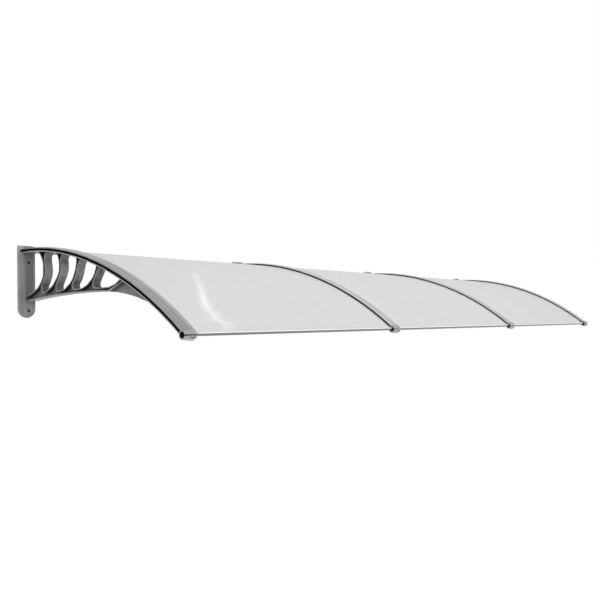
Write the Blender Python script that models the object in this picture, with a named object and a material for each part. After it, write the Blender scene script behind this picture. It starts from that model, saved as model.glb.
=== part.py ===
# Door canopy of three curved sheets on four moulded wall brackets.
# Metres, +Z up. X runs along the wall, +Y runs into the wall and the roof reaches out along -Y.
# The origin lies on the wall, halfway between the end brackets, at the height of the rear sheet edge.

import math

import bmesh
import bpy
from mathutils import Matrix, Vector

MM = 0.001

# Main arc: all its parts share one axis, parallel to X
SEAT_RADIUS = 1285.5 * MM
CROWN_REACH = 48.5 * MM
NOSE_REACH = 838.5 * MM
ARC_STEPS = 16

# Sheet
BAYS = 3
SHEET_WIDTH = 1000 * MM
SHEET_THICKNESS = 4 * MM
SHEET_SIDE_CLEARANCE = 1.5 * MM

# Fits, and how far a cutting form reaches past the face that it opens
SEAT_GAP = 0.3 * MM
CUT_PAST = 5 * MM

# Bracket: channel that carries the sheet edges
CHANNEL_WIDTH = 50 * MM
FLOOR_THICKNESS = 3.7 * MM
SLOT_HEIGHT = 7.4 * MM
SPINE_WIDTH = 12 * MM

# Bracket: wall plate
PLATE_THICKNESS = 6 * MM
PLATE_HEIGHT = 247 * MM
PLATE_ABOVE_SHEET = 17.6 * MM
PLATE_LEFT_OF_WEB = 38.5 * MM
PLATE_RIGHT_OF_WEB = 25 * MM
PLATE_CORNER = 3 * MM
PLATE_EDGE_BEVEL = 1.2 * MM
PLATE_END_STEPS = 14
WALL_HOLE_DIAMETER = 9.5 * MM
WALL_HOLE_SIDES = 12
WALL_HOLE_FROM_TOP = 57 * MM
WALL_HOLE_FROM_BOTTOM = 24 * MM

# Plug that closes a screw hole of the wall plate
PLUG_CLEARANCE = 0.2 * MM
PLUG_RECESS = 3 * MM
PLUG_DISH = 0.8 * MM

# Bracket: fan of ribs
FAN_WIDTH = 28 * MM
WEB_THICKNESS = 3 * MM
RIM = 3 * MM
LOWER_FLANGE = 4 * MM
CHORD_WALL_DROP = 192.6 * MM
CHORD_CREST_DROP = 165.3 * MM
CHORD_CREST_REACH = 440 * MM
CHORD_FLAT = 12.4 * MM
CHORD_FRONT_RADIUS = 676 * MM
CURVE_SAMPLES = 12
CURVE_TURN = math.radians(16)
POCKETS_END_BEFORE_TIP = 95 * MM
POCKET_CEILING = 0.4 * MM

# Bracket: front socket
SOCKET_RADIUS = 16 * MM
SOCKET_SIDES = 20
SOCKET_MOUTH_RADIUS = 9.6 * MM
SOCKET_MOUTH_DEPTH = 20 * MM
BAR_HOLE_DEPTH = 15 * MM
NOSE_GROOVE_HEIGHT = 4 * MM
NOSE_GROOVE_DEPTH = 3 * MM
LIP_GROOVE_HEIGHT = 2 * MM
LIP_GROOVE_DEPTH = 1.5 * MM
LIP_GROOVE_DROP = 7.5 * MM

# Cover strip
COVER_EDGE = 3.2 * MM
COVER_CROWN = 5.8 * MM
COVER_GROOVE_WIDTH = 7 * MM
COVER_GROOVE_DEPTH = 1.8 * MM

# Front bar, a U section round the front edge of the sheet
FRONT_BAR_WALL = 1.3 * MM
FRONT_BAR_DEPTH = 7 * MM
FRONT_BAR_CORNER = 1.2 * MM
FRONT_BAR_SOCKET_ENTRY = 13 * MM

# Rear bar, a U section round the rear edge of the sheet
REAR_BAR_WALL = 1.6 * MM
REAR_BAR_DEPTH = 16 * MM
REAR_SHEET_REACH = 7 * MM

# Rubber lip between the rear bar and the wall
SEAL_DEPTH = 9 * MM
SEAL_HEIGHT = 5 * MM
SEAL_FOOT = 1.5 * MM

# Screws that hold the cover strip, driven from below
SCREW_HEAD_RADIUS = 4 * MM
SCREW_HEAD_HEIGHT = 2.6 * MM
SCREW_HEAD_SIDES = 10
SCREW_SHANK_RADIUS = 1.75 * MM
SCREW_SHANK_SIDES = 6
SCREW_HOLE_CLEARANCE = 0.3 * MM
SCREW_BITE = 3.2 * MM
POCKET_RADIUS = 6.5 * MM
POCKET_DROP = 33 * MM
POCKET_TIP_RADIUS = 0.4 * MM
POCKET_SIDES = 10

# Barrel of the socket: place along half the channel's width, radius and sag as shares of its radius
SOCKET_STATIONS = ((-1, 0.8, 0), (-0.4, 0.91, 0.02), (0.24, 1, 0.04), (0.48, 0.96, 0.03), (1, 0.47, 0))
LIP_GROOVE_SPAN = (-0.3, 0.6)

# Outlines of the five openings. The reach is in thousandths of the fan's, from the wall to its tip.
# Height 0 is the top of the lower flange and height 1 is the underside of the channel. The closed
# cell in front of them has no flange: its height 0 lies below the bracket's lower edge.
CELLS = (
    ((12, 0.95), (16, 1), (54, 1), (123, 1), (139, 0.95), (150, 0.87), (160, 0.78), (164, 0.67),
     (164, 0.57), (160, 0.45), (147, 0.35), (130, 0.265), (108, 0.195), (76, 0.14), (41, 0.11),
     (18, 0.09), (12, 0.12), (12, 0.5)),
    ((202, 1), (260, 1), (276, 0.975), (286, 0.88), (292, 0.78), (293, 0.68), (290, 0.55), (279, 0.44),
     (262, 0.335), (239, 0.225), (212, 0.15), (190, 0.11), (169, 0.1), (153, 0.14), (150, 0.23),
     (164, 0.32), (177, 0.43), (184, 0.58), (181, 0.7), (175, 0.82), (177, 0.89), (187, 0.97)),
    ((335, 1), (406, 1), (423, 0.97), (425, 0.89), (422, 0.79), (417, 0.64), (406, 0.49), (391, 0.34),
     (371, 0.23), (347, 0.14), (326, 0.09), (301, 0.08), (282, 0.08), (270, 0.13), (270, 0.22),
     (286, 0.335), (301, 0.475), (310, 0.6), (311, 0.73), (308, 0.84), (313, 0.92), (321, 0.97)),
    ((467, 1), (550, 1), (566, 0.96), (565, 0.86), (558, 0.71), (548, 0.545), (531, 0.38), (511, 0.25),
     (486, 0.145), (458, 0.09), (423, 0.07), (405, 0.09), (395, 0.15), (396, 0.225), (412, 0.345),
     (425, 0.5), (434, 0.69), (440, 0.81), (454, 0.95)),
    ((597, 1), (637, 1), (721, 1), (732, 0.96), (726, 0.86), (707, 0.56), (685, 0.345), (657, 0.19),
     (613, 0.14), (578, 0.1), (559, 0.11), (546, 0.18), (546, 0.3), (559, 0.47), (572, 0.67),
     (579, 0.82), (586, 0.94)),
)
CLOSED_CELL = ((766, 1), (752, 0.92), (726, 0.62), (701, 0.39), (674, 0.22), (650, 0.11), (629, 0),
               (720, 0), (800, 0), (900, 0), (1002, 0.1), (1002, 0.9), (930, 1), (850, 1))
RIB_SCREW_REACH = (174, 307, 441, 580)

BAY_PITCH = SHEET_WIDTH + SPINE_WIDTH + 2 * SHEET_SIDE_CLEARANCE
SHEET_RADIUS = SEAT_RADIUS + SEAT_GAP + SHEET_THICKNESS / 2
COVER_RADIUS = SEAT_RADIUS + SLOT_HEIGHT
FLOOR_RADIUS = SEAT_RADIUS - FLOOR_THICKNESS
SOCKET_END = SOCKET_STATIONS[-1][0] * CHANNEL_WIDTH / 2
AXIS_Z = -math.sqrt(SHEET_RADIUS ** 2 - (CROWN_REACH - REAR_BAR_DEPTH / 2) ** 2)
PLATE_TOP = SHEET_THICKNESS / 2 + PLATE_ABOVE_SHEET
NOSE_ANGLE = math.asin((NOSE_REACH - CROWN_REACH) / SHEET_RADIUS)
FRONT_BAR_HALF = SHEET_THICKNESS / 2 + SEAT_GAP + FRONT_BAR_WALL
FRONT_BAR_CLOSED_END = FRONT_BAR_DEPTH / 2
BAR_HOLE_RADIUS = math.hypot(FRONT_BAR_HALF, FRONT_BAR_DEPTH / 2) + SEAT_GAP
WALL_HOLE_FRAMES = tuple(Matrix.Translation((0, 0, PLATE_TOP - drop)) @ Matrix.Rotation(math.pi / 2, 4, "X")
                         for drop in (WALL_HOLE_FROM_TOP, PLATE_HEIGHT - WALL_HOLE_FROM_BOTTOM))


def arc_point(radius, angle):
    """Point (y, z) on an arc of the roof; the angle grows from the crown towards the front."""
    return (-CROWN_REACH - radius * math.sin(angle), AXIS_Z + radius * math.cos(angle))


def arc_angle(radius, reach):
    """Angle at which an arc of the roof stands at a given reach from the wall."""
    return math.asin((reach - CROWN_REACH) / radius)


def arc_height(radius, reach):
    return arc_point(radius, arc_angle(radius, reach))[1]


def arc_line(radius, first, last, steps=ARC_STEPS):
    """Points (y, z) along an arc between two angles."""
    return [arc_point(radius, first + (last - first) * i / steps) for i in range(steps + 1)]


def chord_height(reach):
    """Underside of the bracket's lower edge at a given reach from the wall."""
    crest = PLATE_TOP - CHORD_CREST_DROP
    if reach <= CHORD_CREST_REACH:
        fall = CHORD_WALL_DROP - CHORD_CREST_DROP
        span = CHORD_CREST_REACH - PLATE_THICKNESS
        radius = (span ** 2 + fall ** 2) / (2 * fall)
        return crest - radius + math.sqrt(radius ** 2 - (CHORD_CREST_REACH - reach) ** 2)
    past = max(reach - CHORD_CREST_REACH - CHORD_FLAT, 0)
    return crest - CHORD_FRONT_RADIUS + math.sqrt(CHORD_FRONT_RADIUS ** 2 - past ** 2)


def chord_tip():
    """Reach at which the lower edge runs into the underside of the channel."""
    low = CHORD_CREST_REACH + CHORD_FLAT
    high = min(NOSE_REACH, low + CHORD_FRONT_RADIUS)
    for _ in range(50):
        middle = (low + high) / 2
        if chord_height(middle) < arc_height(FLOOR_RADIUS, middle):
            low = middle
        else:
            high = middle
    return low


FAN_TIP = chord_tip()


def fan_reach(thousandths):
    """Reach from the wall of a place on the fan."""
    return thousandths / 1000 * FAN_TIP


def smooth_loop(points):
    """Closed smooth curve through a few points, with a point kept at each set amount of turn."""
    count = len(points)
    dense = []
    for i in range(count):
        p0, p1, p2, p3 = (Vector(points[(i + k - 1) % count]) for k in range(4))
        t1 = math.sqrt((p1 - p0).length)
        t2 = t1 + math.sqrt((p2 - p1).length)
        t3 = t2 + math.sqrt((p3 - p2).length)
        for j in range(CURVE_SAMPLES):
            t = t1 + (t2 - t1) * j / CURVE_SAMPLES
            a1 = p0.lerp(p1, t / t1)
            a2 = p1.lerp(p2, (t - t1) / (t2 - t1))
            a3 = p2.lerp(p3, (t - t2) / (t3 - t2))
            b1 = a1.lerp(a2, t / t2)
            b2 = a2.lerp(a3, (t - t1) / (t3 - t1))
            dense.append(b1.lerp(b2, (t - t1) / (t2 - t1)))
    result = []
    turned_by = 0.0
    total = len(dense)
    for i in range(total):
        before = dense[i] - dense[i - 1]
        after = dense[(i + 1) % total] - dense[i]
        turned_by += before.angle(after)
        if turned_by > CURVE_TURN:
            result.append(dense[i])
            turned_by = 0.0
    return result


def offset_loop(points, distance):
    """The same closed curve, moved outwards by a distance."""
    count = len(points)
    area = sum(points[i].x * points[(i + 1) % count].y - points[(i + 1) % count].x * points[i].y
               for i in range(count))
    side = 1 if area > 0 else -1
    result = []
    for i in range(count):
        along = (points[(i + 1) % count] - points[i - 1]).normalized()
        result.append(points[i] + Vector((along.y, -along.x)) * distance * side)
    return result


def cell_outline(points, foot=LOWER_FLANGE):
    """Turn a cell's points into a smooth loop of (y, z); the foot is where height 0 lies."""
    placed = []
    for thousandths, share in points:
        reach = fan_reach(thousandths)
        low = chord_height(reach) + foot
        high = arc_height(FLOOR_RADIUS, reach)
        placed.append((-reach, low + (high - low) * share))
    return smooth_loop(placed)


def mesh_object(name, bm):
    bmesh.ops.remove_doubles(bm, verts=bm.verts, dist=1e-6)
    bmesh.ops.recalc_face_normals(bm, faces=bm.faces)
    mesh = bpy.data.meshes.new(name)
    bm.to_mesh(mesh)
    bm.free()
    obj = bpy.data.objects.new(name, mesh)
    bpy.context.collection.objects.link(obj)
    return obj


def prism(name, outline, x_low, x_high):
    """Solid with a (y, z) outline, extruded along X."""
    bm = bmesh.new()
    face = bm.faces.new([bm.verts.new((x_low, p[0], p[1])) for p in outline])
    moved = bmesh.ops.extrude_face_region(bm, geom=[face])
    verts = [v for v in moved["geom"] if isinstance(v, bmesh.types.BMVert)]
    bmesh.ops.translate(bm, verts=verts, vec=(x_high - x_low, 0, 0))
    return mesh_object(name, bm)


def ring_loft(name, rings):
    """Solid through rings of equal point counts, closed at both ends."""
    bm = bmesh.new()
    rows = [[bm.verts.new(p) for p in ring] for ring in rings]
    count = len(rows[0])
    for near, far in zip(rows, rows[1:]):
        for i in range(count):
            bm.faces.new((near[i], near[(i + 1) % count], far[(i + 1) % count], far[i]))
    bm.faces.new(rows[0])
    bm.faces.new(list(reversed(rows[-1])))
    return mesh_object(name, bm)


def swept_strip(name, profile, first, last):
    """Solid with a section of (x, radius) points, swept along the roof's arc."""
    rings = []
    for i in range(ARC_STEPS + 1):
        angle = first + (last - first) * i / ARC_STEPS
        rings.append([(x, *arc_point(radius, angle)) for x, radius in profile])
    return ring_loft(name, rings)


def round_bar(name, stations, centre, sides):
    """Solid of round sections about an axis along X, from (x, radius, sag) stations."""
    rings = []
    for x, radius, sag in stations:
        ring = []
        for i in range(sides):
            turn = 2 * math.pi * (i + 0.5) / sides
            ring.append((x, centre[0] + radius * math.cos(turn),
                         centre[1] - sag + radius * math.sin(turn)))
        rings.append(ring)
    return ring_loft(name, rings)


def turned(name, stations, sides):
    """Solid turned about Z, from (z, radius) stations."""
    rings = []
    for z, radius in stations:
        rings.append([(radius * math.cos(2 * math.pi * i / sides),
                       radius * math.sin(2 * math.pi * i / sides), z) for i in range(sides)])
    return ring_loft(name, rings)


def box(name, low, high):
    outline = [(low[1], low[2]), (high[1], low[2]), (high[1], high[2]), (low[1], high[2])]
    return prism(name, outline, low[0], high[0])


def combine(target, tool, operation):
    """Apply one Boolean step to the target and delete the tool."""
    step = target.modifiers.new("step", "BOOLEAN")
    step.operation = operation
    step.solver = "EXACT"
    step.object = tool
    depsgraph = bpy.context.evaluated_depsgraph_get()
    mesh = bpy.data.meshes.new_from_object(target.evaluated_get(depsgraph))
    target.modifiers.clear()
    target.data = mesh
    bpy.data.objects.remove(tool)


def bevel_edges(obj, width, segments, wanted):
    """Bevel the edges that a test picks out."""
    bm = bmesh.new()
    bm.from_mesh(obj.data)
    edges = [e for e in bm.edges if wanted(e)]
    bmesh.ops.bevel(bm, geom=edges, offset=width, segments=segments, profile=0.5, affect="EDGES")
    bm.to_mesh(obj.data)
    bm.free()


def tidy(obj):
    """Merge the specks that Boolean steps leave and dissolve flat seams."""
    bm = bmesh.new()
    bm.from_mesh(obj.data)
    bmesh.ops.remove_doubles(bm, verts=bm.verts, dist=2e-6)
    bmesh.ops.dissolve_degenerate(bm, edges=bm.edges, dist=1e-6)
    bmesh.ops.dissolve_limit(bm, angle_limit=math.radians(0.05), verts=bm.verts, edges=bm.edges)
    bmesh.ops.triangulate(bm, faces=bm.faces)
    bm.to_mesh(obj.data)
    bm.free()


def shade(obj, degrees=35):
    obj.data.shade_smooth()
    obj.data.set_sharp_from_angle(angle=math.radians(degrees))


def material(name, colour, roughness, metallic=0.0, alpha=1.0):
    result = bpy.data.materials.new(name)
    result.use_nodes = True
    shader = result.node_tree.nodes["Principled BSDF"]
    shader.inputs["Base Color"].default_value = (*colour, 1)
    shader.inputs["Roughness"].default_value = roughness
    shader.inputs["Metallic"].default_value = metallic
    shader.inputs["Alpha"].default_value = alpha
    return result


# Wall plate: flat moulding with a round lower end and two empty screw holes
def wall_plate():
    low_x = -PLATE_LEFT_OF_WEB
    high_x = PLATE_RIGHT_OF_WEB
    middle = (low_x + high_x) / 2
    radius = (high_x - low_x) / 2
    centre_z = PLATE_TOP - PLATE_HEIGHT + radius
    outline = [(low_x, PLATE_TOP - PLATE_CORNER), (low_x + PLATE_CORNER, PLATE_TOP),
               (high_x, PLATE_TOP)]
    for i in range(PLATE_END_STEPS + 1):
        turn = math.pi * i / PLATE_END_STEPS
        outline.append((middle + radius * math.cos(turn), centre_z - radius * math.sin(turn)))
    bm = bmesh.new()
    face = bm.faces.new([bm.verts.new((x, 0, z)) for x, z in outline])
    moved = bmesh.ops.extrude_face_region(bm, geom=[face])
    verts = [v for v in moved["geom"] if isinstance(v, bmesh.types.BMVert)]
    bmesh.ops.translate(bm, verts=verts, vec=(0, -PLATE_THICKNESS, 0))
    plate = mesh_object("plate", bm)

    def on_front_face(edge):
        return all(abs(v.co.y + PLATE_THICKNESS) < 1e-6 for v in edge.verts)

    bevel_edges(plate, PLATE_EDGE_BEVEL, 1, on_front_face)
    return plate


# Channel: floor under the sheet edges, and a spine between them that carries the cover strip
def channel():
    half = CHANNEL_WIDTH / 2
    spine = SPINE_WIDTH / 2
    top = COVER_RADIUS - SEAT_GAP
    profile = [(-half, FLOOR_RADIUS), (half, FLOOR_RADIUS), (half, SEAT_RADIUS), (spine, SEAT_RADIUS),
               (spine, top), (-spine, top), (-spine, SEAT_RADIUS), (-half, SEAT_RADIUS)]
    first = arc_angle(SEAT_RADIUS, PLATE_THICKNESS / 2)
    return swept_strip("channel", profile, first, NOSE_ANGLE)


# Fan: a plate on edge, opened by cells with rims and thinned to a web between the rims
def fan():
    steps = ARC_STEPS
    start = PLATE_THICKNESS / 2
    bury = FLOOR_THICKNESS / 3
    lower = []
    for i in range(steps + 1):
        reach = start + (FAN_TIP - start) * i / steps
        lower.append((-reach, chord_height(max(reach, PLATE_THICKNESS))))
    first = arc_angle(FLOOR_RADIUS + bury, start)
    last = arc_angle(FLOOR_RADIUS + bury, FAN_TIP)
    upper = arc_line(FLOOR_RADIUS + bury, last, first)
    half = FAN_WIDTH / 2
    return prism("fan", lower + upper, -half, half)


def web_pockets():
    """Everything between the rims, on one side of the web, as one cutter."""
    start = PLATE_THICKNESS + RIM
    end = FAN_TIP - POCKETS_END_BEFORE_TIP
    lower = []
    for i in range(ARC_STEPS + 1):
        reach = start + (end - start) * i / ARC_STEPS
        lower.append((-reach, chord_height(reach) + LOWER_FLANGE))
    ceiling = FLOOR_RADIUS - POCKET_CEILING
    upper = arc_line(ceiling, arc_angle(ceiling, end), arc_angle(ceiling, start))
    outline = lower + upper
    cutter = prism("pockets", outline, WEB_THICKNESS / 2, FAN_WIDTH)
    closed = cell_outline(CLOSED_CELL, -CUT_PAST)
    for cell in [cell_outline(points) for points in CELLS] + [closed]:
        rim = offset_loop(cell, RIM)
        combine(cutter, prism("rim", rim, -FAN_WIDTH, 2 * FAN_WIDTH), "DIFFERENCE")
    combine(cutter, prism("closed", closed, WEB_THICKNESS / 2, FAN_WIDTH), "UNION")
    return cutter


# Front socket: barrel on the end of the channel that takes the front bars from both sides
def socket(grow=0.0):
    """The barrel, or the same form with all its faces moved outwards."""
    last = len(SOCKET_STATIONS) - 1
    stations = []
    for i, (along, share, sag) in enumerate(SOCKET_STATIONS):
        outward = grow * ((i == last) - (i == 0))
        stations.append((along * CHANNEL_WIDTH / 2 + outward, share * SOCKET_RADIUS + grow,
                         sag * SOCKET_RADIUS))
    return round_bar("socket", stations, arc_point(SHEET_RADIUS, NOSE_ANGLE), SOCKET_SIDES)


def socket_groove(x_low, x_high, drop, height, depth):
    """Cutter for a groove of even depth along the front of the barrel."""
    y, z = arc_point(SHEET_RADIUS, NOSE_ANGLE)
    groove = box("groove", (x_low, y - SOCKET_RADIUS - CUT_PAST, z - drop - height / 2),
                 (x_high, y, z - drop + height / 2))
    combine(groove, socket(-depth), "DIFFERENCE")
    return groove


def socket_cutters():
    centre = arc_point(SHEET_RADIUS, NOSE_ANGLE)
    half = CHANNEL_WIDTH / 2
    mouth = [(-half - CUT_PAST, SOCKET_MOUTH_RADIUS, 0), (-half + SOCKET_MOUTH_DEPTH, SOCKET_MOUTH_RADIUS, 0)]
    yield round_bar("mouth", mouth, centre, SOCKET_SIDES)
    hole = [(SOCKET_END - BAR_HOLE_DEPTH, BAR_HOLE_RADIUS, 0), (SOCKET_END + CUT_PAST, BAR_HOLE_RADIUS, 0)]
    yield round_bar("bar_hole", hole, centre, SOCKET_SIDES)
    yield socket_groove(-half - CUT_PAST, SOCKET_END + CUT_PAST, 0, NOSE_GROOVE_HEIGHT, NOSE_GROOVE_DEPTH)
    yield socket_groove(half * LIP_GROOVE_SPAN[0], half * LIP_GROOVE_SPAN[1], LIP_GROOVE_DROP,
                        LIP_GROOVE_HEIGHT, LIP_GROOVE_DEPTH)


def screw_frame(thousandths):
    """Place and turn of a cover screw: its axis stands square on the roof's arc."""
    angle = arc_angle(FLOOR_RADIUS, fan_reach(thousandths))
    y, z = arc_point(FLOOR_RADIUS, angle)
    return Matrix.Translation((0, y, z)) @ Matrix.Rotation(angle, 4, "X")


def place(obj, matrix):
    obj.data.transform(matrix)
    return obj


def bracket_mesh():
    body = wall_plate()
    for piece in (channel(), fan(), socket()):
        combine(body, piece, "UNION")
    for side in (1, -1):
        cutter = web_pockets()
        if side < 0:
            place(cutter, Matrix.Scale(-1, 4, Vector((1, 0, 0))))
            cutter.data.flip_normals()
        combine(body, cutter, "DIFFERENCE")
    for cell in CELLS:
        combine(body, prism("cell", cell_outline(cell), -FAN_WIDTH, FAN_WIDTH), "DIFFERENCE")
    for cutter in socket_cutters():
        combine(body, cutter, "DIFFERENCE")
    for frame in WALL_HOLE_FRAMES:
        hole = turned("hole", [(-CUT_PAST, WALL_HOLE_DIAMETER / 2),
                               (PLATE_THICKNESS + CUT_PAST, WALL_HOLE_DIAMETER / 2)], WALL_HOLE_SIDES)
        combine(body, place(hole, frame), "DIFFERENCE")
    for reach in RIB_SCREW_REACH:
        frame = screw_frame(reach)
        pocket = turned("pocket", [(-POCKET_DROP, POCKET_TIP_RADIUS), (0, POCKET_RADIUS)], POCKET_SIDES)
        combine(body, place(pocket, frame), "DIFFERENCE")
        radius = SCREW_SHANK_RADIUS + SCREW_HOLE_CLEARANCE
        spine_top = COVER_RADIUS - FLOOR_RADIUS
        hole = turned("shank_hole", [(-CUT_PAST, radius), (spine_top + CUT_PAST, radius)], SCREW_SHANK_SIDES)
        combine(body, place(hole, frame), "DIFFERENCE")
    tidy(body)
    return body


# Cover strip: shallow crowned strip with a groove along its middle, screwed to the spine
def cover_strip_mesh():
    half = CHANNEL_WIDTH / 2
    groove = COVER_GROOVE_WIDTH / 2
    base = COVER_RADIUS
    flat = half * 0.45
    profile = [(-half, base), (half, base), (half, base + COVER_EDGE), (flat, base + COVER_CROWN),
               (groove, base + COVER_CROWN), (0, base + COVER_CROWN - COVER_GROOVE_DEPTH),
               (-groove, base + COVER_CROWN), (-flat, base + COVER_CROWN), (-half, base + COVER_EDGE)]
    first = arc_angle(base + COVER_CROWN, PLATE_THICKNESS + SEAT_GAP)
    strip = swept_strip("cover", profile, first, NOSE_ANGLE)
    combine(strip, socket(SEAT_GAP), "DIFFERENCE")
    reach = SOCKET_RADIUS * SOCKET_STATIONS[0][1] + SEAT_GAP
    clear = round_bar("clear", [(-CHANNEL_WIDTH, reach, 0), (CHANNEL_WIDTH, reach, 0)],
                      arc_point(SHEET_RADIUS, NOSE_ANGLE), SOCKET_SIDES)
    combine(strip, clear, "DIFFERENCE")
    top = COVER_RADIUS - FLOOR_RADIUS
    for reach in RIB_SCREW_REACH:
        radius = SCREW_SHANK_RADIUS + SCREW_HOLE_CLEARANCE
        hole = turned("pilot", [(top - CUT_PAST, radius), (top + SCREW_BITE + SEAT_GAP, radius)],
                      SCREW_SHANK_SIDES)
        combine(strip, place(hole, screw_frame(reach)), "DIFFERENCE")
    tidy(strip)
    return strip


# Screw: pan head below the channel floor, shank through the spine into the cover strip
def screw_mesh():
    top = COVER_RADIUS - FLOOR_RADIUS + SCREW_BITE
    seat = -SEAT_GAP
    head = SCREW_HEAD_HEIGHT
    wide = SCREW_HEAD_RADIUS
    screw = turned("screw", [(seat - head, wide * 0.45), (seat - head * 0.75, wide * 0.82),
                             (seat - head * 0.35, wide), (seat, wide)], SCREW_HEAD_SIDES)
    shank = turned("shank", [(seat - head / 2, SCREW_SHANK_RADIUS), (top, SCREW_SHANK_RADIUS)],
                   SCREW_SHANK_SIDES)
    combine(screw, shank, "UNION")
    return screw


# Plug: dished disc pressed into a screw hole, flush with the wall side of the plate
def plug_mesh():
    wide = WALL_HOLE_DIAMETER / 2 - PLUG_CLEARANCE
    face = PLATE_THICKNESS - PLUG_RECESS
    stations = [(SEAT_GAP, wide), (face, wide), (face, wide * 0.8), (face - PLUG_DISH, wide * 0.3)]
    return turned("plug", stations, WALL_HOLE_SIDES)


# Sheet: plain curved sheet, trimmed at its front corners where the sockets stand
def sheet_mesh(length):
    half = length / 2
    low = SHEET_RADIUS - SHEET_THICKNESS / 2
    high = SHEET_RADIUS + SHEET_THICKNESS / 2
    first = arc_angle(SHEET_RADIUS, REAR_SHEET_REACH)
    front_edge = FRONT_BAR_CLOSED_END - FRONT_BAR_WALL - SEAT_GAP
    last = NOSE_ANGLE + front_edge / SHEET_RADIUS
    sheet = swept_strip("sheet", [(-half, low), (half, low), (half, high), (-half, high)], first, last)
    centre = arc_point(SHEET_RADIUS, NOSE_ANGLE)
    trim = SOCKET_RADIUS + SEAT_GAP * 2
    edge = SPINE_WIDTH / 2 + SHEET_SIDE_CLEARANCE
    left_trim = SOCKET_END + SEAT_GAP - edge
    right_trim = CHANNEL_WIDTH / 2 + SEAT_GAP - edge
    for x_low, x_high in ((-half - CUT_PAST, -half + left_trim), (half - right_trim, half + CUT_PAST)):
        corner = box("corner", (x_low, -trim, -trim), (x_high, trim, trim))
        turn = Matrix.Translation((0, centre[0], centre[1])) @ Matrix.Rotation(NOSE_ANGLE, 4, "X")
        combine(sheet, place(corner, turn), "DIFFERENCE")
    tidy(sheet)
    return sheet


# Front bar: aluminium U section, closed at the front, with softly rounded corners
def front_bar_mesh(x_low, x_high):
    out = FRONT_BAR_HALF
    inner = SHEET_THICKNESS / 2 + SEAT_GAP
    tip = FRONT_BAR_CLOSED_END
    back = tip - FRONT_BAR_DEPTH
    floor = tip - FRONT_BAR_WALL
    corner = FRONT_BAR_CORNER
    section = [(back, inner), (floor, inner), (floor, -inner), (back, -inner), (back, -out)]
    for centre_turn, side in ((-90, -1), (0, 1)):
        for i in range(4):
            turn = math.radians(centre_turn + 30 * i)
            section.append((tip - corner + corner * math.cos(turn),
                            side * (out - corner) + corner * math.sin(turn)))
    section.append((back, out))
    centre = Vector(arc_point(SHEET_RADIUS, NOSE_ANGLE))
    forward = Vector((-math.cos(NOSE_ANGLE), -math.sin(NOSE_ANGLE)))
    upward = Vector((-math.sin(NOSE_ANGLE), math.cos(NOSE_ANGLE)))
    outline = [centre + forward * t + upward * r for t, r in section]
    return prism("front_bar", outline, x_low, x_high)


# Rear bar: aluminium U section with its back on the wall
def rear_bar_mesh(x_low, x_high):
    out = SHEET_THICKNESS / 2 + SEAT_GAP * 2 + REAR_BAR_WALL
    inner = SHEET_THICKNESS / 2 + SEAT_GAP * 2
    web = -REAR_BAR_WALL
    front = -REAR_BAR_DEPTH
    outline = [(0, -out), (0, out), (front, out), (front, inner), (web, inner), (web, -inner),
               (front, -inner), (front, -out)]
    return prism("rear_bar", outline, x_low, x_high)


# Seal: rubber wedge on top of the rear bar, pressed to the wall
def seal_mesh(x_low, x_high):
    base = SHEET_THICKNESS / 2 + SEAT_GAP * 2 + REAR_BAR_WALL + SEAT_GAP
    outline = [(0, base), (0, base + SEAL_HEIGHT), (-SEAL_FOOT, base + SEAL_HEIGHT),
               (-SEAL_DEPTH, base + SEAL_FOOT), (-SEAL_DEPTH, base)]
    return prism("seal", outline, x_low, x_high)


def named_copy(source, name, x, finish):
    """Object of its own that shares a mesh with its siblings."""
    obj = bpy.data.objects.new(name, source.data)
    obj.location.x = x
    if not obj.data.materials:
        obj.data.materials.append(finish)
    bpy.context.collection.objects.link(obj)
    return obj


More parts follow.
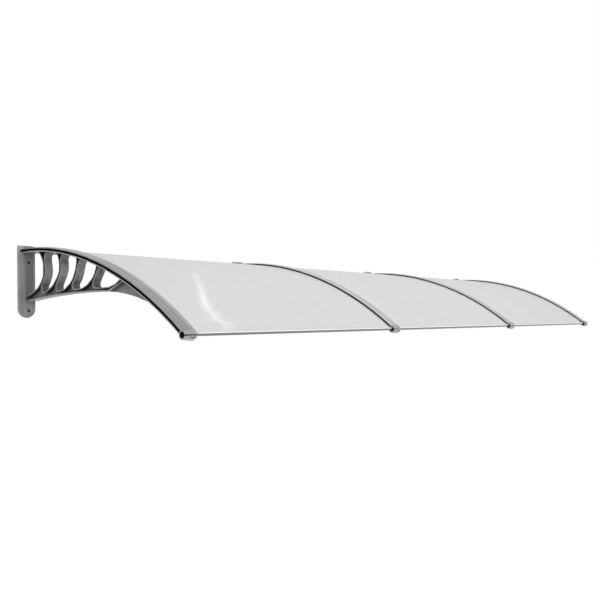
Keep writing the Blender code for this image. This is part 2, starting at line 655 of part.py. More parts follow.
def build():
    for obj in list(bpy.data.objects):
        bpy.data.objects.remove(obj)

    moulded = material("grey_moulded_plastic", (0.24, 0.24, 0.22), 0.5)
    cover = material("light_grey_moulded_plastic", (0.38, 0.38, 0.36), 0.45)
    translucent = material("translucent_polycarbonate", (0.72, 0.73, 0.75), 0.15, alpha=0.6)
    aluminium = material("anodised_aluminium", (0.5, 0.5, 0.5), 0.35, metallic=1.0)
    rubber = material("black_rubber", (0.03, 0.03, 0.03), 0.7)
    steel = material("zinc_plated_steel", (0.6, 0.6, 0.58), 0.3, metallic=1.0)

    bracket_x = [(i - BAYS / 2) * BAY_PITCH for i in range(BAYS + 1)]
    bracket = bracket_mesh()
    strip = cover_strip_mesh()
    screw = screw_mesh()
    plug = plug_mesh()
    shade(bracket)
    shade(strip)
    shade(screw, 50)
    for i, x in enumerate(bracket_x, 1):
        named_copy(bracket, f"bracket_{i}", x, moulded)
        named_copy(strip, f"cover_strip_{i}", x, cover)
        for j, reach in enumerate(RIB_SCREW_REACH, 1):
            obj = named_copy(screw, f"cover_screw_{i}_{j}", 0, steel)
            obj.matrix_world = Matrix.Translation((x, 0, 0)) @ screw_frame(reach)

        for j, frame in enumerate(WALL_HOLE_FRAMES, 1):
            obj = named_copy(plug, f"hole_plug_{i}_{j}", 0, rubber)
            obj.matrix_world = Matrix.Translation((x, 0, 0)) @ frame

    sheet = sheet_mesh(SHEET_WIDTH)
    bar_low = -BAY_PITCH / 2 + SOCKET_END - FRONT_BAR_SOCKET_ENTRY
    bar_high = BAY_PITCH / 2 - CHANNEL_WIDTH / 2 + FRONT_BAR_SOCKET_ENTRY
    front_bar = front_bar_mesh(bar_low, bar_high)
    rear_low = -BAY_PITCH / 2 + CHANNEL_WIDTH / 2 + SEAT_GAP
    rear_high = BAY_PITCH / 2 - PLATE_LEFT_OF_WEB - SEAT_GAP
    rear_bar = rear_bar_mesh(rear_low, rear_high)
    seal = seal_mesh(rear_low, rear_high)
    shade(sheet)
    shade(front_bar)
    for i in range(BAYS):
        middle = (bracket_x[i] + bracket_x[i + 1]) / 2
        named_copy(sheet, f"roof_sheet_{i + 1}", middle, translucent)
        named_copy(front_bar, f"front_bar_{i + 1}", middle, aluminium)
        named_copy(rear_bar, f"rear_bar_{i + 1}", middle, aluminium)
        named_copy(seal, f"wall_seal_{i + 1}", middle, rubber)

    for source in (bracket, strip, screw, plug, sheet, front_bar, rear_bar, seal):
        bpy.data.objects.remove(source)


build()
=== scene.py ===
import math

import bpy
from mathutils import Euler, Matrix, Vector


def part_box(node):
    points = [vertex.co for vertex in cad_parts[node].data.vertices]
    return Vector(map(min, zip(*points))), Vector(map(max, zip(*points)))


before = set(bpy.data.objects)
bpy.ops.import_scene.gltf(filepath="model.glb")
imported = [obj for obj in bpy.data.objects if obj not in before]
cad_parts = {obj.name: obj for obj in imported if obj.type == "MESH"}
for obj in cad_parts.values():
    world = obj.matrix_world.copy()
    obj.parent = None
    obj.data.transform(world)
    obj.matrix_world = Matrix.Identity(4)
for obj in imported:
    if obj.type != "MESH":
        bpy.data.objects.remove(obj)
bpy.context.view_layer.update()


# Camera: a short telephoto to the left of the canopy and just below its front edge, looking along
# the row of brackets. It is tipped down a little and shifted up, so that the wall plates stand
# upright.
CAMERA_PLACE = (-2.8175, -2.3362, -0.2142)
CAMERA_HEADING = 49.55
CAMERA_TIP = -1.2
CAMERA_FOCAL_PX = 725.3
CAMERA_SHIFT_PX = 29.3
CAMERA_SENSOR_MM = 36
CAMERA_REACH = 60
FRAME_PX = 600

camera_data = bpy.data.cameras.new("camera")
camera_data.sensor_width = CAMERA_SENSOR_MM
camera_data.lens = CAMERA_FOCAL_PX / FRAME_PX * CAMERA_SENSOR_MM
camera_data.shift_y = CAMERA_SHIFT_PX / FRAME_PX
camera_data.clip_end = CAMERA_REACH
camera = bpy.data.objects.new("camera", camera_data)
camera.location = CAMERA_PLACE
camera.rotation_euler = Euler((math.radians(90 + CAMERA_TIP), 0, -math.radians(CAMERA_HEADING)))
bpy.context.collection.objects.link(camera)
bpy.context.scene.camera = camera


# Wall brackets: one injection moulding each, with a wall plate, a fan of ribs on a thin web, the
# channel for the sheet edges and the front socket. Grey ABS from a spark-eroded mould, screwed to
# the wall. The grain leaves a satin face with a faint mottle; deep corners get painted shade.
def linear(code):
    """Linear colour of an sRGB hex value such as 86867F."""
    parts = [int(code[i:i + 2], 16) / 255 for i in (0, 2, 4)]
    return (*[c / 12.92 if c <= 0.04045 else ((c + 0.055) / 1.055) ** 2.4 for c in parts], 1)


def add(owner, kind, settings=None, links=None):
    """Add a node; settings fill its fields and sockets, links feed its sockets from others."""
    node = owner.node_tree.nodes.new(kind)
    for key, value in (settings or {}).items():
        if isinstance(key, int) or key in node.inputs:
            node.inputs[key].default_value = value
        else:
            setattr(node, key, value)
    for key, source in (links or {}).items():
        owner.node_tree.links.new(source, node.inputs[key])
    return node


def bare_material(name):
    """A material with only its output node left, and that output's surface socket."""
    material = bpy.data.materials.new(name)
    material.use_nodes = True
    material.node_tree.nodes.remove(material.node_tree.nodes["Principled BSDF"])
    return material, material.node_tree.nodes["Material Output"].inputs["Surface"]


def dress(material, names):
    """Give CAD nodes a finished material."""
    for name in names:
        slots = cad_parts[name].data.materials
        slots.clear()
        slots.append(material)


BRACKETS = range(1, 5)
CLOUDS_PER_METRE = 14
# The two noises together swing between these; the colour runs from mottle to body over it.
MELT_SWING = {"From Min": 0.75, "From Max": 1.25}


def melt_colour(material, place, body, mottle, flow_scale):
    """Clouds in the melt, about 70 mm across, and flow lines along the longest way of the piece."""
    cloud = add(material, "ShaderNodeTexNoise",
                {"Scale": CLOUDS_PER_METRE, "Detail": 6, "Roughness": 0.72}, {"Vector": place})
    run = add(material, "ShaderNodeMapping", {"Scale": flow_scale}, {"Vector": place})
    flow = add(material, "ShaderNodeTexNoise", {"Scale": 1, "Detail": 2},
               {"Vector": run.outputs["Vector"]})
    marks = add(material, "ShaderNodeMath", {"operation": "ADD"},
                {0: cloud.outputs["Fac"], 1: flow.outputs["Fac"]})
    marks = add(material, "ShaderNodeMapRange", MELT_SWING, {"Value": marks.outputs["Value"]})
    colour = add(material, "ShaderNodeMixRGB", {"Color1": linear(mottle), "Color2": linear(body)},
                 {"Fac": marks.outputs["Result"]})
    return colour.outputs["Color"]


# The mould rounds every rim to 1.2 mm.
RIM_RADIUS = 0.0012
# Cosine between the rounded and the flat normal, where the painted highlight starts and is full.
RIM_HIGHLIGHT_RANGE = {"From Min": 0.99, "From Max": 0.84}


def painted_rim_highlight(material, colour, rim):
    """Painted rim highlight where the rounded normal leaves the flat one; and both normals."""
    rounded = add(material, "ShaderNodeBevel", {"samples": 4, "Radius": RIM_RADIUS})
    rounded = rounded.outputs["Normal"]
    flat = add(material, "ShaderNodeNewGeometry").outputs["Normal"]
    turn = add(material, "ShaderNodeVectorMath", {"operation": "DOT_PRODUCT"},
               {0: rounded, 1: flat})
    edge_lit = add(material, "ShaderNodeMapRange", RIM_HIGHLIGHT_RANGE, {"Value": turn.outputs["Value"]})
    rim_lit_colour = add(material, "ShaderNodeMixRGB", {"Color2": linear(rim)},
                 {"Fac": edge_lit.outputs["Result"], "Color1": colour})
    return rim_lit_colour.outputs["Color"], rounded, flat


# Faces that look up are mixed towards this grey.
UPWARD_FACE_GREY = "484846"
# How far up a face must look for the dark grey to begin, and for the whole of it.
UPWARD_FACE_MIX = {"From Min": 0.2, "From Max": 0.9, "To Max": 0.35}


def greyer_upward_faces(material, colour, facing):
    """Faces that look up are mixed towards a dark grey."""
    looks_up = add(material, "ShaderNodeMapRange", UPWARD_FACE_MIX, {"Value": facing["Z"]})
    greyed_up = add(material, "ShaderNodeMixRGB", {"Color2": linear(UPWARD_FACE_GREY)},
                 {"Fac": looks_up.outputs["Result"], "Color1": colour})
    return greyed_up.outputs["Color"]


# Black of the painted shade in corners and on the web, which also darkens the plain grey.
SHADE_BLACK = "080808"
# The webs stand this far apart, the first one at this place along the wall, and the rims of the fan
# are wider than the web.
BAY_PITCH = 1.015
FIRST_WEB = -1.5225
WEB_HALF = 0.0017
RIM_HALF = 0.0143
# Only the sides of the web get the painted shade, and not the faces of the rims that run over it.
WEB_SIDES = {"From Min": 0.9, "From Max": 0.98, "To Max": 0.25}
# The rear rim lies on the wall plate, above the foot of the chord, and gets painted shade too.
AT_WALL = {"From Min": -0.022, "From Max": -0.018}
ABOVE_FOOT = {"From Min": -0.172, "From Max": -0.166, "To Max": 0.375}


def painted_web_shade(material, colour, spot, facing):
    """Painted shade on the sides of the thin web, recessed between the rims, and on the rear rim.
    """
    from_first = add(material, "ShaderNodeMath", {"operation": "SUBTRACT", 1: FIRST_WEB},
                     {0: spot["X"]})
    from_web = add(material, "ShaderNodeMath",
                   {"operation": "WRAP", 1: BAY_PITCH / 2, 2: -BAY_PITCH / 2},
                   {0: from_first.outputs["Value"]}).outputs["Value"]
    on_web = add(material, "ShaderNodeMath", {"operation": "COMPARE", 1: 0.0, 2: WEB_HALF},
                 {0: from_web})
    sideways = add(material, "ShaderNodeMath", {"operation": "ABSOLUTE"}, {0: facing["X"]})
    sideways = add(material, "ShaderNodeMapRange", WEB_SIDES,
                   {"Value": sideways.outputs["Value"]})
    on_web = add(material, "ShaderNodeMath", {"operation": "MULTIPLY"},
                 {0: on_web.outputs["Value"], 1: sideways.outputs["Result"]})
    at_wall = add(material, "ShaderNodeMapRange", AT_WALL, {"Value": spot["Y"]})
    above_foot = add(material, "ShaderNodeMapRange", ABOVE_FOOT, {"Value": spot["Z"]})
    on_rim = add(material, "ShaderNodeMath", {"operation": "COMPARE", 1: 0.0, 2: RIM_HALF},
                 {0: from_web})
    on_rim = add(material, "ShaderNodeMath", {"operation": "MULTIPLY"},
                 {0: on_rim.outputs["Value"], 1: at_wall.outputs["Result"]})
    on_rim = add(material, "ShaderNodeMath", {"operation": "MULTIPLY"},
                 {0: on_rim.outputs["Value"], 1: above_foot.outputs["Result"]})
    web_shade_share = add(material, "ShaderNodeMath", {"operation": "MAXIMUM"},
                 {0: on_web.outputs["Value"], 1: on_rim.outputs["Value"]})
    web_shaded = add(material, "ShaderNodeMixRGB", {"Color2": linear(SHADE_BLACK)},
                   {"Fac": web_shade_share.outputs["Value"], "Color1": colour})
    return web_shaded.outputs["Color"]


# The nose is the barrel at the front end; its underside gets painted light from below.
AT_NOSE = {"From Min": -0.815, "From Max": -0.823}
FACES_DOWN = {"From Min": -0.2, "From Max": -0.75}


def painted_nose_underlight(material, colour, facing, at_nose, rim):
    """The underside of the nose is painted paler: painted light from below."""
    under = add(material, "ShaderNodeMapRange", FACES_DOWN, {"Value": facing["Z"]})
    underlit = add(material, "ShaderNodeMath", {"operation": "MULTIPLY"},
                {0: under.outputs["Result"], 1: at_nose})
    paler = add(material, "ShaderNodeMixRGB", {"Color2": linear(rim)},
                {"Fac": underlit.outputs["Value"], "Color1": colour})
    return paler.outputs["Color"]


# The slot that the sheet slides into lies on a circle about this axis, which runs along the wall.
SLOT_AXIS_TO_ORIGIN = (0, 0.0485, 1.28716)
SLOT_RADIUS = 1.2892
SLOT_HALF = 0.0044
# How far the open sky is looked for from a narrow pocket, and from the hollows between the ribs.
POCKET_REACH = 0.012
HOLLOW_REACH = 0.05
# Each turns the share of open sky into a painted shade.
POCKET_SHADE = {"From Min": 0.15, "From Max": 0.65, "To Min": 0.88, "To Max": 0.0}
SLOT_SHADE = {"From Min": 0.78, "From Max": 0.97, "To Min": 1.0, "To Max": 0.0}
HOLLOW_SHADE = {"From Min": 0.33, "From Max": 0.97, "To Min": 0.95, "To Max": 0.0}
# The wall plate stands clear of the hollows and keeps a fifth of their painted shade.
PLATE_SHARE = {**AT_WALL, "To Min": 1.0, "To Max": 0.2}


def painted_self_shade(material, place, spot):
    """Painted shade of the moulding in its own pockets, in the sheet slot and between its ribs."""
    # Painted shade in deep pockets; the sheet slot is deeper than they are, and painted quite
    # black.
    near_sky = add(material, "ShaderNodeAmbientOcclusion",
                   {"samples": 8, "Distance": POCKET_REACH}).outputs["AO"]
    pocket = add(material, "ShaderNodeMapRange", POCKET_SHADE, {"Value": near_sky})
    from_axis = add(material, "ShaderNodeMapping",
                    {"Location": SLOT_AXIS_TO_ORIGIN, "Scale": (0, 1, 1)}, {"Vector": place})
    radius = add(material, "ShaderNodeVectorMath", {"operation": "LENGTH"},
                 {0: from_axis.outputs["Vector"]})
    in_slot = add(material, "ShaderNodeMath",
                  {"operation": "COMPARE", 1: SLOT_RADIUS, 2: SLOT_HALF},
                  {0: radius.outputs["Value"]})
    slot = add(material, "ShaderNodeMapRange", SLOT_SHADE, {"Value": near_sky})
    slot = add(material, "ShaderNodeMath", {"operation": "MULTIPLY"},
               {0: slot.outputs["Result"], 1: in_slot.outputs["Value"]})
    # Painted shade where the ribs, the lower chord and the rims beside the web shade each other.
    wide_sky = add(material, "ShaderNodeAmbientOcclusion", {"samples": 8, "Distance": HOLLOW_REACH})
    hollow = add(material, "ShaderNodeMapRange", HOLLOW_SHADE, {"Value": wide_sky.outputs["AO"]})
    share = add(material, "ShaderNodeMapRange", PLATE_SHARE, {"Value": spot["Y"]})
    hollow = add(material, "ShaderNodeMath", {"operation": "MULTIPLY"},
                 {0: hollow.outputs["Result"], 1: share.outputs["Result"]})
    shade = add(material, "ShaderNodeMath", {"operation": "MAXIMUM"},
                {0: pocket.outputs["Result"], 1: slot.outputs["Value"]})
    shade = add(material, "ShaderNodeMath", {"operation": "MAXIMUM"},
                {0: shade.outputs["Value"], 1: hollow.outputs["Value"]})
    return shade.outputs["Value"]


# Spark grain is 0.2 mm on the real face; 1.4 mm here, so that it shows at all.
GRAINS_PER_METRE = 700
GRAIN_HEIGHT = 0.0004
GRAIN_STRENGTH = 0.12
# Typical of ABS.
ABS_IOR = 1.53
# The painted shade also takes the last gloss from the shaded places.
SHADE_SHEEN = {"To Min": 0.5, "To Max": 0.02}


def satin_abs(material, surface, place, colour, rounded, shade, gloss):
    """Satin face with spark grain, dulled and blackened by the painted shade."""
    shaded_colour = add(material, "ShaderNodeMixRGB", {"Color2": linear(SHADE_BLACK)},
                 {"Fac": shade, "Color1": colour})
    grain = add(material, "ShaderNodeTexNoise",
                {"Scale": GRAINS_PER_METRE, "Detail": 3, "Roughness": 0.55},
                {"Vector": place}).outputs["Fac"]
    satin = add(material, "ShaderNodeMapRange", {"To Min": gloss[0], "To Max": gloss[1]},
                {"Value": grain})
    sheen = add(material, "ShaderNodeMapRange", SHADE_SHEEN, {"Value": shade})
    bump = add(material, "ShaderNodeBump", {"Strength": GRAIN_STRENGTH, "Distance": GRAIN_HEIGHT},
               {"Height": grain, "Normal": rounded})
    shader = add(material, "ShaderNodeBsdfPrincipled", {"IOR": ABS_IOR},
                 {"Base Color": shaded_colour.outputs["Color"], "Roughness": satin.outputs["Result"],
                  "Specular IOR Level": sheen.outputs["Result"],
                  "Normal": bump.outputs["Normal"]})
    material.node_tree.links.new(shader.outputs["BSDF"], surface)


BRACKET_GREY = "9E9E9B"
BRACKET_MOTTLE = "888885"
# Pale grey of the painted highlights on the rims and under the nose.
BRACKET_HIGHLIGHT = "C4C4C0"
# Flow lines stand upright, 7 mm apart and 250 mm long.
BRACKET_FLOW = (150, 150, 4)
BRACKET_GLOSS = (0.38, 0.52)


def bracket_abs(name, socket_unshaded):
    """Grey moulding of a bracket; a socket that a front bar closes gets no painted shade."""
    material, surface = bare_material(name)
    place = add(material, "ShaderNodeTexCoord").outputs["Object"]
    spot = add(material, "ShaderNodeSeparateXYZ", {}, {"Vector": place}).outputs
    colour = melt_colour(material, place, BRACKET_GREY, BRACKET_MOTTLE, BRACKET_FLOW)
    colour, rounded, flat = painted_rim_highlight(material, colour, BRACKET_HIGHLIGHT)
    facing = add(material, "ShaderNodeSeparateXYZ", {}, {"Vector": flat}).outputs
    colour = greyer_upward_faces(material, colour, facing)
    colour = painted_web_shade(material, colour, spot, facing)
    at_nose = add(material, "ShaderNodeMapRange", AT_NOSE, {"Value": spot["Y"]}).outputs["Result"]
    colour = painted_nose_underlight(material, colour, facing, at_nose, BRACKET_HIGHLIGHT)
    shade = painted_self_shade(material, place, spot)
    if socket_unshaded:
        behind_nose = add(material, "ShaderNodeMath", {"operation": "SUBTRACT", 0: 1.0},
                          {1: at_nose})
        shade = add(material, "ShaderNodeMath", {"operation": "MULTIPLY"},
                    {0: shade, 1: behind_nose.outputs["Value"]}).outputs["Value"]
    satin_abs(material, surface, place, colour, rounded, shade, BRACKET_GLOSS)
    return material


dress(bracket_abs("moulded_grey_abs", False), ["bracket_1"])
# The front bars close the sockets of the others, and these get no painted shade at the nose.
dress(bracket_abs("moulded_unshaded_socket_abs", True), [f"bracket_{i}" for i in BRACKETS if i > 1])


# Hole plugs: dished discs of black soft plastic, pressed into the two screw holes of each wall
# plate. Matt, and blacker than anything round them: painted shade for the dark of open holes.
# Mould grain is 0.2 mm on the real disc; 1.1 mm here, so that it shows at all.
PLUG_GRAINS_PER_METRE = 900
PLUG_GRAIN_HEIGHT = 0.0003
PLUG_GRAIN_STRENGTH = 0.2
PLUG_HOLE_SHADE = "101010"
plug_material, plug_surface = bare_material("hole_shade_black_pe")
plug_place = add(plug_material, "ShaderNodeTexCoord").outputs["Object"]
plug_grain = add(plug_material, "ShaderNodeTexNoise",
                 {"Scale": PLUG_GRAINS_PER_METRE, "Detail": 2}, {"Vector": plug_place})
plug_bump = add(plug_material, "ShaderNodeBump",
                {"Strength": PLUG_GRAIN_STRENGTH, "Distance": PLUG_GRAIN_HEIGHT},
                {"Height": plug_grain.outputs["Fac"]})
plug_shader = add(plug_material, "ShaderNodeBsdfPrincipled",
                  {"Base Color": linear(PLUG_HOLE_SHADE), "Roughness": 0.7, "Specular IOR Level": 0.1},
                  {"Normal": plug_bump.outputs["Normal"]})
plug_material.node_tree.links.new(plug_shader.outputs["BSDF"], plug_surface)
dress(plug_material, [f"hole_plug_{i}_{j}" for i in BRACKETS for j in (1, 2)])


# Wall seals: extruded black rubber wedges on top of the rear bars, pressed to the wall. Matt, with
# a light bloom in long streaks.
BAYS = range(1, 4)
# Streaks of bloom 4 mm apart and 500 mm long.
SEAL_BLOOM = (2, 260, 260)
SEAL_BLACK = "1A1A1A"
SEAL_BLOOMED = "2C2C2B"
seal_material, seal_surface = bare_material("extruded_black_epdm")
seal_place = add(seal_material, "ShaderNodeTexCoord").outputs["Object"]
seal_run = add(seal_material, "ShaderNodeMapping", {"Scale": SEAL_BLOOM}, {"Vector": seal_place})
seal_bloom = add(seal_material, "ShaderNodeTexNoise", {"Scale": 1, "Detail": 3},
                 {"Vector": seal_run.outputs["Vector"]})
seal_colour = add(seal_material, "ShaderNodeValToRGB", {}, {"Fac": seal_bloom.outputs["Fac"]})
seal_colour.color_ramp.elements[0].color = linear(SEAL_BLACK)
seal_colour.color_ramp.elements[1].color = linear(SEAL_BLOOMED)
seal_shader = add(seal_material, "ShaderNodeBsdfPrincipled", {"Roughness": 0.75, "IOR": 1.5},
                  {"Base Color": seal_colour.outputs["Color"]})
seal_material.node_tree.links.new(seal_shader.outputs["BSDF"], seal_surface)
dress(seal_material, [f"wall_seal_{i}" for i in BAYS])


# Roof sheets: solid polycarbonate, extruded flat, frosted on both faces and bent cold into the
# brackets. It passes light without showing what is behind it, and has a soft gloss.
# Extrusion streaks are 40 mm apart along the wall and very long from back to front.
SHEET_STREAKS = (26, 0.4, 0.4)
SHEET_DULL = "D9D9DB"
SHEET_PALE = "DDDDDF"
# Half of the light that the sheet scatters goes on through it.
SHEET_THROUGH = 0.5
SHEET_IOR = 1.58
# The frosting takes two thirds of the gloss.
SHEET_GLOSS = 0.35
SHEET_ROUGHNESS = 0.08
# Along the cover strips the sheet gets painted shade over the last 10 mm, for the slot seen through
# it.
SHEET_SHADE_REACH = 0.01
SHEET_SHADE_GREY = "202020"
SHEET_SHADE_TONES = {"From Min": 0.55, "From Max": 0.93, "To Max": 0.0}
sheet_material, sheet_surface = bare_material("frosted_polycarbonate")
sheet_place = add(sheet_material, "ShaderNodeTexCoord").outputs["Object"]
sheet_run = add(sheet_material, "ShaderNodeMapping", {"Scale": SHEET_STREAKS},
                {"Vector": sheet_place})
sheet_streak = add(sheet_material, "ShaderNodeTexNoise",
                   {"Scale": 1, "Detail": 3, "Roughness": 0.5},
                   {"Vector": sheet_run.outputs["Vector"]})
sheet_colour = add(sheet_material, "ShaderNodeValToRGB", {}, {"Fac": sheet_streak.outputs["Fac"]})
sheet_colour.color_ramp.elements[0].position = 0.3
sheet_colour.color_ramp.elements[0].color = linear(SHEET_DULL)
sheet_colour.color_ramp.elements[1].position = 0.7
sheet_colour.color_ramp.elements[1].color = linear(SHEET_PALE)
# Light that is already inside the sheet doesn't get the painted shade again.
sheet_side = add(sheet_material, "ShaderNodeNewGeometry")
sheet_outside = add(sheet_material, "ShaderNodeMath", {"operation": "SUBTRACT", 0: 1.0},
                    {1: sheet_side.outputs["Backfacing"]})
sheet_sky = add(sheet_material, "ShaderNodeAmbientOcclusion",
                {"samples": 8, "Distance": SHEET_SHADE_REACH})
sheet_shade = add(sheet_material, "ShaderNodeMapRange", SHEET_SHADE_TONES,
                  {"Value": sheet_sky.outputs["AO"], "To Min": sheet_outside.outputs["Value"]})
sheet_shaded_colour = add(sheet_material, "ShaderNodeMixRGB", {"Color2": linear(SHEET_SHADE_GREY)},
                 {"Fac": sheet_shade.outputs["Result"], "Color1": sheet_colour.outputs["Color"]})
sheet_front = add(sheet_material, "ShaderNodeBsdfDiffuse", {},
                  {"Color": sheet_shaded_colour.outputs["Color"]})
sheet_back = add(sheet_material, "ShaderNodeBsdfTranslucent", {},
                 {"Color": sheet_shaded_colour.outputs["Color"]})
sheet_body = add(sheet_material, "ShaderNodeMixShader", {0: SHEET_THROUGH},
                 {1: sheet_front.outputs["BSDF"], 2: sheet_back.outputs["BSDF"]})
sheet_gloss = add(sheet_material, "ShaderNodeBsdfAnisotropic", {"Roughness": SHEET_ROUGHNESS})
sheet_edge = add(sheet_material, "ShaderNodeFresnel", {"IOR": SHEET_IOR})
sheet_edge = add(sheet_material, "ShaderNodeMath", {"operation": "MULTIPLY", 1: SHEET_GLOSS},
                 {0: sheet_edge.outputs["Fac"]})
sheet_shader = add(sheet_material, "ShaderNodeMixShader", {},
                   {0: sheet_edge.outputs["Value"], 1: sheet_body.outputs["Shader"],
                    2: sheet_gloss.outputs["BSDF"]})
sheet_material.node_tree.links.new(sheet_shader.outputs["Shader"], sheet_surface)
dress(sheet_material, [f"roof_sheet_{i}" for i in BAYS])


# Front and rear bars: extruded aluminium U sections pushed over the sheet edges, anodised dark
# grey. Fine die lines run along them, and the upper lip carries a painted highlight.
# Die lines are 0.7 mm apart and 300 mm long.
BAR_LINES = (3, 1400, 1400)
BAR_GREY = "767677"
BAR_GLOSS = {"To Min": 0.26, "To Max": 0.4}
# The bright lip is a painted highlight on the rear half of the front bars' top face, which lies on
# a circle about the same axis as the slot. It is painted white and is not metal, so that it
# scatters light and reads as a white line.
BAR_LOW, BAR_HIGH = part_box("front_bar_1")
LIP_BEHIND_MIDDLE = 0.001
LIP_MIDDLE = (BAR_LOW[1] + BAR_HIGH[1]) / 2 + LIP_BEHIND_MIDDLE
LIP_HALF = 0.003
LIP_LEVEL = {"From Min": 1.2907, "From Max": 1.2911}
LIP_HIGHLIGHT_WHITE = "F4F4F4"
bar_material, bar_surface = bare_material("anodised_aluminium")
bar_place = add(bar_material, "ShaderNodeTexCoord").outputs["Object"]
bar_run = add(bar_material, "ShaderNodeMapping", {"Scale": BAR_LINES}, {"Vector": bar_place})
bar_lines = add(bar_material, "ShaderNodeTexNoise", {"Scale": 1, "Detail": 2},
                {"Vector": bar_run.outputs["Vector"]})
bar_gloss = add(bar_material, "ShaderNodeMapRange", BAR_GLOSS, {"Value": bar_lines.outputs["Fac"]})
bar_from_axis = add(bar_material, "ShaderNodeMapping",
                    {"Location": SLOT_AXIS_TO_ORIGIN, "Scale": (0, 1, 1)}, {"Vector": bar_place})
bar_radius = add(bar_material, "ShaderNodeVectorMath", {"operation": "LENGTH"},
                 {0: bar_from_axis.outputs["Vector"]})
bar_top = add(bar_material, "ShaderNodeMapRange", LIP_LEVEL, {"Value": bar_radius.outputs["Value"]})
bar_depth = add(bar_material, "ShaderNodeSeparateXYZ", {}, {"Vector": bar_place})
bar_rear = add(bar_material, "ShaderNodeMath",
               {"operation": "COMPARE", 1: LIP_MIDDLE, 2: LIP_HALF}, {0: bar_depth.outputs["Y"]})
bar_lip_highlight = add(bar_material, "ShaderNodeMath", {"operation": "MULTIPLY"},
              {0: bar_top.outputs["Result"], 1: bar_rear.outputs["Value"]})
bar_colour = add(bar_material, "ShaderNodeMixRGB",
                 {"Color1": linear(BAR_GREY), "Color2": linear(LIP_HIGHLIGHT_WHITE)},
                 {"Fac": bar_lip_highlight.outputs["Value"]})
bar_metal = add(bar_material, "ShaderNodeMath", {"operation": "SUBTRACT", 0: 1.0},
                {1: bar_lip_highlight.outputs["Value"]})
bar_shader = add(bar_material, "ShaderNodeBsdfPrincipled", {},
                 {"Base Color": bar_colour.outputs["Color"],
                  "Metallic": bar_metal.outputs["Value"],
                  "Roughness": bar_gloss.outputs["Result"]})
bar_material.node_tree.links.new(bar_shader.outputs["BSDF"], bar_surface)
dress(bar_material, [f"{end}_bar_{i}" for end in ("front", "rear") for i in BAYS])


# Cover strips: crowned caps over the sheet joints, moulded from grey ABS and screwed down from
# below. They are smoother than the brackets, and all are one grey moulding: the first keeps its
# own grey, and the others are a lit copy of it, painted paler.
# Flow lines are 3 mm apart and 330 mm long.
COVER_FLOW = (330, 3, 3)
COVER_GLOSS = (0.24, 0.34)


def cover_abs(name, body, mottle, rim):
    """Grey moulding of a cover strip, with the painted rim highlight and self shade only."""
    material, surface = bare_material(name)
    place = add(material, "ShaderNodeTexCoord").outputs["Object"]
    spot = add(material, "ShaderNodeSeparateXYZ", {}, {"Vector": place}).outputs
    colour = melt_colour(material, place, body, mottle, COVER_FLOW)
    colour, rounded, _ = painted_rim_highlight(material, colour, rim)
    shade = painted_self_shade(material, place, spot)
    satin_abs(material, surface, place, colour, rounded, shade, COVER_GLOSS)
    return material


dress(cover_abs("moulded_cover_abs", "80807D", "6B6B69", "9C9C98"), ["cover_strip_1"])
# The others are a lit copy of the same moulding, painted paler.
dress(cover_abs("moulded_lit_cover_abs", "A2A2A0", "8F8F8D", "B4B4B1"),
      [f"cover_strip_{i}" for i in BRACKETS if i > 1])


# Cover screws: pan heads of zinc plated steel in the pockets at the tops of the ribs. Bright, with
# a faint grey cast and a cloudy gloss.
# Clouds in the zinc are 1.7 mm across.
SCREW_CLOUDS_PER_METRE = 600
SCREW_ZINC = "C4C4C0"
SCREW_GLOSS = {"To Min": 0.25, "To Max": 0.45}
screw_material, screw_surface = bare_material("zinc_plated_steel")
screw_place = add(screw_material, "ShaderNodeTexCoord").outputs["Object"]
screw_cloud = add(screw_material, "ShaderNodeTexNoise",
                  {"Scale": SCREW_CLOUDS_PER_METRE, "Detail": 3}, {"Vector": screw_place})
screw_gloss = add(screw_material, "ShaderNodeMapRange", SCREW_GLOSS,
                  {"Value": screw_cloud.outputs["Fac"]})
screw_shader = add(screw_material, "ShaderNodeBsdfPrincipled",
                   {"Base Color": linear(SCREW_ZINC), "Metallic": 1.0},
                   {"Roughness": screw_gloss.outputs["Result"]})
screw_material.node_tree.links.new(screw_shader.outputs["BSDF"], screw_surface)
dress(screw_material, [f"cover_screw_{i}_{j}" for i in BRACKETS for j in range(1, 5)])


# Studio: a white paper floor far below and a white room. What the camera, a gloss or clear plastic
# sees of them is lifted to white, and the floor keeps the canopy's shadow.
FLOOR_LEVEL = -2.3
FLOOR_SIZE = 50
FLOOR_GREY = "B8B8B8"
FLOOR_LIFT = 0.86
ROOM_LIGHT = 0.5
ROOM_SEEN = 1.0


def seen_directly(owner):
    """1 where the camera, a gloss or clear plastic sees the studio, 0 for light on the canopy."""
    ray = add(owner, "ShaderNodeLightPath").outputs
    seen = add(owner, "ShaderNodeMath", {"operation": "MAXIMUM"},
               {0: ray["Is Camera Ray"], 1: ray["Is Glossy Ray"]})
    seen = add(owner, "ShaderNodeMath", {"operation": "MAXIMUM"},
               {0: seen.outputs["Value"], 1: ray["Is Transmission Ray"]})
    return seen.outputs["Value"]


floor_material, floor_surface = bare_material("white_paper")
floor_paper = add(floor_material, "ShaderNodeBsdfDiffuse", {"Color": linear(FLOOR_GREY)})
floor_lift = add(floor_material, "ShaderNodeMath", {"operation": "MULTIPLY", 1: FLOOR_LIFT},
                 {0: seen_directly(floor_material)})
floor_glow = add(floor_material, "ShaderNodeEmission", {"Color": (1, 1, 1, 1)},
                 {"Strength": floor_lift.outputs["Value"]})
floor_both = add(floor_material, "ShaderNodeAddShader", {},
                 {0: floor_paper.outputs["BSDF"], 1: floor_glow.outputs["Emission"]})
floor_material.node_tree.links.new(floor_both.outputs["Shader"], floor_surface)
bpy.ops.object.select_all(action="DESELECT")
bpy.ops.mesh.primitive_plane_add(size=FLOOR_SIZE, location=(0, 0, FLOOR_LEVEL))
studio_floor = bpy.context.object
studio_floor.name = "studio_floor"
studio_floor.data.materials.append(floor_material)

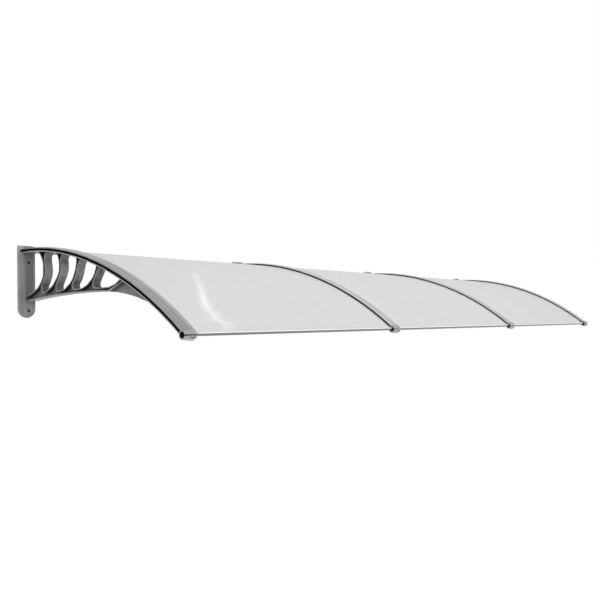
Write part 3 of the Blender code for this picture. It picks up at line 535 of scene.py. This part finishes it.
room = bpy.data.worlds.new("studio")
room.use_nodes = True
bpy.context.scene.world = room
room_level = add(room, "ShaderNodeMapRange", {"To Min": ROOM_LIGHT, "To Max": ROOM_SEEN},
                 {"Value": seen_directly(room)})
room_back = room.node_tree.nodes["Background"]
room_back.inputs["Color"].default_value = (1, 1, 1, 1)
room.node_tree.links.new(room_level.outputs["Result"], room_back.inputs["Strength"])


def flat_lamp(name, place, size, power):
    """Rectangular lamp at a place, not turned yet."""
    data = bpy.data.lights.new(name, "AREA")
    data.shape = "RECTANGLE"
    data.size, data.size_y = size
    data.energy = power
    lamp = bpy.data.objects.new(name, data)
    lamp.location = place
    bpy.context.collection.objects.link(lamp)
    return lamp


def soft_box(name, place, target, size, power):
    """Flat lamp that faces a point. Gloss shows the white room round it, and not its edges."""
    lamp = flat_lamp(name, place, size, power)
    lamp.rotation_euler = (Vector(place) - Vector(target)).to_track_quat("Z", "Y").to_euler()
    lamp.visible_glossy = False


soft_box("overhead", (0.0, -0.9, 3.2), (0, -0.5, 0), (6, 2.6), 112)
soft_box("front", (0.5, -4.5, 1.0), (0, -0.3, -0.1), (7, 2), 115)
soft_box("left", (-4.5, -2.4, 0.6), (-1.2, -0.4, -0.1), (2.5, 2), 55)


# Narrow lamps draw the bright streak down the first sheet. They stand in an arc beyond it, in a
# plane square to the wall, and shine to the left: the corners of the arc, and each lamp's watts.
STREAK_PLANE = 1.4
STREAK_WIDTH = 0.05
STREAK_BACK = Vector((1, 0, 0))
STREAK_ARC = ((1.87, 1.73), (1.50, 2.05), (1.20, 2.26), (0.95, 2.40), (0.746, 2.49),
              (0.47, 2.56), (0.25, 2.55), (0.01, 2.52), (-0.08, 2.50))
STREAK_WATTS = (0.17, 0.28, 0.36, 0.32, 0.48, 0.40, 0.48, 0.16)
for i, power in enumerate(STREAK_WATTS):
    start, end = (Vector((STREAK_PLANE, *corner)) for corner in STREAK_ARC[i:i + 2])
    along = end - start
    lamp = flat_lamp(f"streak_{i + 1}", (start + end) / 2, (along.length, STREAK_WIDTH), power)
    axis = along.normalized()
    turned = Matrix((axis, STREAK_BACK.cross(axis), STREAK_BACK)).transposed()
    lamp.rotation_euler = turned.to_euler()

bpy.context.scene.view_settings.view_transform = "Standard"
